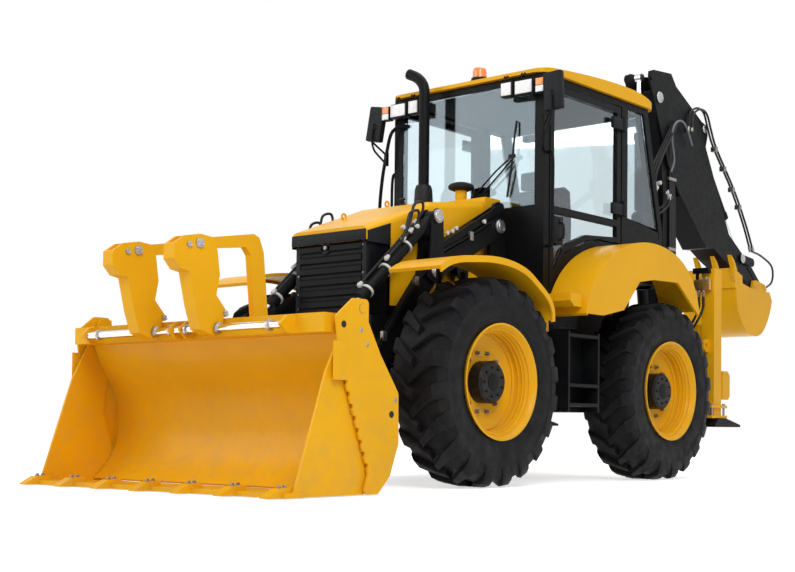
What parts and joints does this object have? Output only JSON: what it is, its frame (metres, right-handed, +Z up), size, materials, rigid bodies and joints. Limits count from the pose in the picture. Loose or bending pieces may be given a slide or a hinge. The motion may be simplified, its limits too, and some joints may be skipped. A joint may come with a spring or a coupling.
{
  "type": "backhoe loader",
  "caption": "Wheeled backhoe loader with a clam front bucket, flip-over forks, glazed cab and a side-shifting rear digging arm.",
  "frame": {"origin": "ground level under the middle of the machine's overall box", "axes": "+X forward, +Y to the driver's left, +Z up"},
  "size_m": [7.8316, 2.452, 3.6895],
  "materials": {
    "yellow_paint": "satin construction yellow",
    "black_paint": "satin black",
    "wheel_paint": "yellow rim with black hub",
    "tyre_rubber": "lugged tyre",
    "window_glass": "clear tinted",
    "chrome_rod": "polished rod",
    "pin_steel": "turned pin",
    "cab_plastic": "dark trim"
  },
  "bodies": {
    "chassis": {"chassis_frame": "black_paint", "rear_frame": "yellow_paint", "axles": "black_paint", "engine_block": "black_paint", "step_tanks": "black_paint", "rear_fenders": "yellow_paint", "hood_cowl": "yellow_paint", "grille": "black_paint", "exhaust_and_intake": "black_paint", "cab_frame": "black_paint", "cab_roof": "yellow_paint", "cab_windows": "window_glass", "cab_interior": "cab_plastic"},
    "hood": {"hood_lid": "yellow_paint"},
    "door_left": {"door_left": "black_paint", "door_glass_left": "window_glass"},
    "door_right": {"door_right": "black_paint", "door_glass_right": "window_glass"},
    "arms": {"loader_arms": "yellow_paint"},
    "levers": {"levers": "black_paint"},
    "links": {"level_links": "black_paint"},
    "tilt_pins": {"tilt_pins": "pin_steel"},
    "tilt_barrels": {"tilt_barrels": "black_paint"},
    "tilt_rods": {"tilt_rods": "chrome_rod"},
    "lift_barrels": {"lift_barrels": "black_paint"},
    "lift_rods": {"lift_rods": "chrome_rod"},
    "bucket_pins": {"bucket_pins": "pin_steel"},
    "bucket": {"bucket_back": "yellow_paint"},
    "jaw": {"jaw": "yellow_paint"},
    "fork_arms": {"fork_arms": "yellow_paint"},
    "forks": {"forks": "yellow_paint"},
    "carriage": {"carriage": "black_paint"},
    "kingpost": {"kingpost": "black_paint"},
    "boom": {"boom": "black_paint"},
    "dipper": {"dipper": "black_paint"},
    "dig_bucket": {"backhoe_bucket": "yellow_paint"},
    "tipping_link": {"tipping_link": "black_paint"},
    "bucket_link": {"bucket_link": "black_paint"},
    "boom_barrel": {"boom_barrel": "black_paint"},
    "boom_rod": {"boom_rod": "chrome_rod"},
    "dipper_barrel": {"dipper_barrel": "black_paint"},
    "dipper_rod": {"dipper_rod": "chrome_rod"},
    "bucket_barrel": {"bucket_barrel": "black_paint"},
    "bucket_rod": {"bucket_rod": "chrome_rod"},
    "stabilizer_left": {"stabilizer_left": "black_paint"},
    "stabilizer_right": {"stabilizer_right": "black_paint"},
    "knuckle_front_left": {"knuckle_front_left": "black_paint", "front_fender_left": "yellow_paint"},
    "wheel_front_left": {"tyre_front_left": "tyre_rubber", "rim_front_left": "wheel_paint"},
    "knuckle_front_right": {"knuckle_front_right": "black_paint", "front_fender_right": "yellow_paint"},
    "wheel_front_right": {"tyre_front_right": "tyre_rubber", "rim_front_right": "wheel_paint"},
    "knuckle_rear_left": {"knuckle_rear_left": "black_paint"},
    "wheel_rear_left": {"tyre_rear_left": "tyre_rubber", "rim_rear_left": "wheel_paint"},
    "knuckle_rear_right": {"knuckle_rear_right": "black_paint"},
    "wheel_rear_right": {"tyre_rear_right": "tyre_rubber", "rim_rear_right": "wheel_paint"}
  },
  "joints": [
    {"name": "front_left_steer", "type": "hinge", "parent": "chassis", "child": "knuckle_front_left", "pos_m": [1.755, 0.68, 0.705], "axis": [0, 0, 1], "range_deg": [-18, 18]},
    {"name": "front_left_roll", "type": "hinge", "parent": "knuckle_front_left", "child": "wheel_front_left", "pos_m": [1.755, 0.885, 0.705], "axis": [0, 1, 0], "continuous": true},
    {"name": "front_right_steer", "type": "hinge", "parent": "chassis", "child": "knuckle_front_right", "pos_m": [1.755, -0.68, 0.705], "axis": [0, 0, 1], "range_deg": [-18, 18]},
    {"name": "front_right_roll", "type": "hinge", "parent": "knuckle_front_right", "child": "wheel_front_right", "pos_m": [1.755, -0.885, 0.705], "axis": [0, 1, 0], "continuous": true},
    {"name": "rear_left_steer", "type": "hinge", "parent": "chassis", "child": "knuckle_rear_left", "pos_m": [-0.469, 0.68, 0.705], "axis": [0, 0, 1], "range_deg": [-18, 18]},
    {"name": "rear_left_roll", "type": "hinge", "parent": "knuckle_rear_left", "child": "wheel_rear_left", "pos_m": [-0.469, 0.885, 0.705], "axis": [0, 1, 0], "continuous": true},
    {"name": "rear_right_steer", "type": "hinge", "parent": "chassis", "child": "knuckle_rear_right", "pos_m": [-0.469, -0.68, 0.705], "axis": [0, 0, 1], "range_deg": [-18, 18]},
    {"name": "rear_right_roll", "type": "hinge", "parent": "knuckle_rear_right", "child": "wheel_rear_right", "pos_m": [-0.469, -0.885, 0.705], "axis": [0, 1, 0], "continuous": true},
    {"name": "door_left_hinge", "type": "hinge", "parent": "chassis", "child": "door_left", "pos_m": [-0.269, 0.76, 2.5], "axis": [0, 0, 1], "range_deg": [0, 100]},
    {"name": "door_right_hinge", "type": "hinge", "parent": "chassis", "child": "door_right", "pos_m": [-0.269, -0.76, 2.5], "axis": [0, 0, -1], "range_deg": [0, 100]},
    {"name": "hood_hinge", "type": "hinge", "parent": "chassis", "child": "hood", "pos_m": [1.031, 0, 2.08], "axis": [0, -1, 0], "range_deg": [0, 50]},
    {"name": "loader_lift", "type": "hinge", "parent": "chassis", "child": "arms", "pos_m": [0.981, 0, 1.89], "axis": [0, -1, 0], "range_deg": [0, 79]},
    {"name": "lever_swing", "type": "hinge", "parent": "arms", "child": "levers", "pos_m": [1.736, 0, 1.484], "axis": [0, -1, 0], "range_deg": [-80, 1]},
    {"name": "level_link_swing", "type": "hinge", "parent": "chassis", "child": "links", "pos_m": [0.952, 0, 2.037], "axis": [0, -1, 0], "range_deg": [-1, 80]},
    {"name": "bucket_level", "type": "hinge", "parent": "arms", "child": "bucket_pins", "pos_m": [2.951, 0, 0.28], "axis": [0, -1, 0], "range_deg": [-80, 1]},
    {"name": "bucket_tilt", "type": "hinge", "parent": "bucket_pins", "child": "bucket", "pos_m": [2.951, 0, 0.28], "axis": [0, 1, 0], "range_deg": [-38, 45]},
    {"name": "tilt_pin_turn", "type": "hinge", "parent": "levers", "child": "tilt_pins", "pos_m": [1.716, 0, 1.872], "axis": [0, -1, 0], "range_deg": [-1, 81]},
    {"name": "tilt_barrel_swing", "type": "hinge", "parent": "tilt_pins", "child": "tilt_barrels", "pos_m": [1.716, 0, 1.872], "axis": [0, -1, 0], "range_deg": [-3.28, 3.7]},
    {"name": "tilt_rod_slide", "type": "slide", "parent": "tilt_barrels", "child": "tilt_rods", "axis": [0.7508, 0, -0.6605], "range_m": [-0.2748, 0.3245]},
    {"name": "lift_barrel_swing", "type": "hinge", "parent": "chassis", "child": "lift_barrels", "pos_m": [0.881, 0, 0.7], "axis": [0, -1, 0], "range_deg": [-1, 11.27]},
    {"name": "lift_rod_slide", "type": "slide", "parent": "lift_barrels", "child": "lift_rods", "axis": [0.552, 0, 0.8339], "range_m": [-0.005, 0.72943]},
    {"name": "jaw_open", "type": "hinge", "parent": "bucket", "child": "jaw", "pos_m": [3.256, 0, 1.075], "axis": [0, -1, 0], "range_deg": [0, 90]},
    {"name": "fork_flip", "type": "hinge", "parent": "bucket", "child": "fork_arms", "pos_m": [3.581, 0, 0.977], "axis": [0, -1, 0], "range_deg": [-110, 0]},
    {"name": "fork_unfold", "type": "hinge", "parent": "fork_arms", "child": "forks", "pos_m": [3.707, 0, 1.471], "axis": [0, -1, 0], "range_deg": [-162, 2]},
    {"name": "side_shift", "type": "slide", "parent": "chassis", "child": "carriage", "axis": [0, 1, 0], "range_m": [-0.68, 0.47]},
    {"name": "boom_swing", "type": "hinge", "parent": "carriage", "child": "kingpost", "pos_m": [-1.799, 0.1, 0.8], "axis": [0, 0, -1], "range_deg": [-90, 90]},
    {"name": "boom_lower", "type": "hinge", "parent": "kingpost", "child": "boom", "pos_m": [-2.014, 0.1, 0.95], "axis": [0, -1, 0], "range_deg": [0, 110]},
    {"name": "boom_barrel_swing", "type": "hinge", "parent": "kingpost", "child": "boom_barrel", "pos_m": [-1.739, 0.1, 1.17], "axis": [0, -1, 0], "range_deg": [-1, 112.17]},
    {"name": "boom_rod_slide", "type": "slide", "parent": "boom_barrel", "child": "boom_rod", "axis": [0.1626, 0, 0.9867], "range_m": [-0.005, 0.60334]},
    {"name": "dipper_open", "type": "hinge", "parent": "boom", "child": "dipper", "pos_m": [-1.72, 0.1, 3.426], "axis": [0, 1, 0], "range_deg": [0, 110]},
    {"name": "dipper_barrel_swing", "type": "hinge", "parent": "boom", "child": "dipper_barrel", "pos_m": [-1.599, 0.1, 2.33], "axis": [0, -1, 0], "range_deg": [-4.15, 1]},
    {"name": "dipper_rod_slide", "type": "slide", "parent": "dipper_barrel", "child": "dipper_rod", "axis": [0.0079, 0, 1], "range_m": [-0.35491, 0.005]},
    {"name": "dig_bucket_open", "type": "hinge", "parent": "dipper", "child": "dig_bucket", "pos_m": [-3.655, 0.1, 1.875], "axis": [0, 1, 0], "range_deg": [0, 120]},
    {"name": "tipping_link_swing", "type": "hinge", "parent": "dipper", "child": "tipping_link", "pos_m": [-3.327, 0.1, 2.117], "axis": [0, 1, 0], "range_deg": [-1, 121]},
    {"name": "bucket_link_swing", "type": "hinge", "parent": "tipping_link", "child": "bucket_link", "pos_m": [-3.54118, 0.1, 2.09826], "axis": [0, -1, 0], "range_deg": [-1, 121]},
    {"name": "bucket_barrel_swing", "type": "hinge", "parent": "dipper", "child": "bucket_barrel", "pos_m": [-2.573, 0.1, 3.291], "axis": [0, -1, 0], "range_deg": [-1, 2.69]},
    {"name": "bucket_rod_slide", "type": "slide", "parent": "bucket_barrel", "child": "bucket_rod", "axis": [-0.6302, 0, -0.7764], "range_m": [-0.3963, 0.005]},
    {"name": "stabilizer_left_drop", "type": "slide", "parent": "chassis", "child": "stabilizer_left", "axis": [0, 0, -1], "range_m": [0, 0.58]},
    {"name": "stabilizer_right_drop", "type": "slide", "parent": "chassis", "child": "stabilizer_right", "axis": [0, 0, -1], "range_m": [0, 0.58]}
  ],
  "couplings": [
    {"joint": "front_right_steer", "follows": "front_left_steer", "ratio": 1},
    {"joint": "rear_right_steer", "follows": "rear_left_steer", "ratio": 1},
    {"joint": "lever_swing", "follows": "loader_lift", "ratio": -1},
    {"joint": "level_link_swing", "follows": "loader_lift", "ratio": 1},
    {"joint": "bucket_level", "follows": "loader_lift", "ratio": -1},
    {"joint": "tilt_pin_turn", "follows": "loader_lift", "ratio": 0.91228},
    {"joint": "tilt_barrel_swing", "follows": "bucket_tilt", "ratio": 0.06},
    {"joint": "tilt_rod_slide", "follows": "bucket_tilt", "m_per_rad": 0.4068},
    {"joint": "lift_barrel_swing", "follows": "loader_lift", "ratio": 0.12994},
    {"joint": "lift_rod_slide", "follows": "loader_lift", "m_per_rad": 0.52541},
    {"joint": "fork_unfold", "follows": "fork_flip", "ratio": 1.4545},
    {"joint": "boom_barrel_swing", "follows": "boom_lower", "ratio": 1.0107},
    {"joint": "boom_rod_slide", "follows": "boom_lower", "m_per_rad": 0.31166},
    {"joint": "dipper_barrel_swing", "follows": "dipper_open", "ratio": -0.028669},
    {"joint": "dipper_rod_slide", "follows": "dipper_open", "m_per_rad": -0.18226},
    {"joint": "tipping_link_swing", "follows": "dig_bucket_open", "ratio": 1},
    {"joint": "bucket_link_swing", "follows": "dig_bucket_open", "ratio": 1},
    {"joint": "bucket_barrel_swing", "follows": "dig_bucket_open", "ratio": 0.014122},
    {"joint": "bucket_rod_slide", "follows": "dig_bucket_open", "m_per_rad": -0.18683}
  ]
}
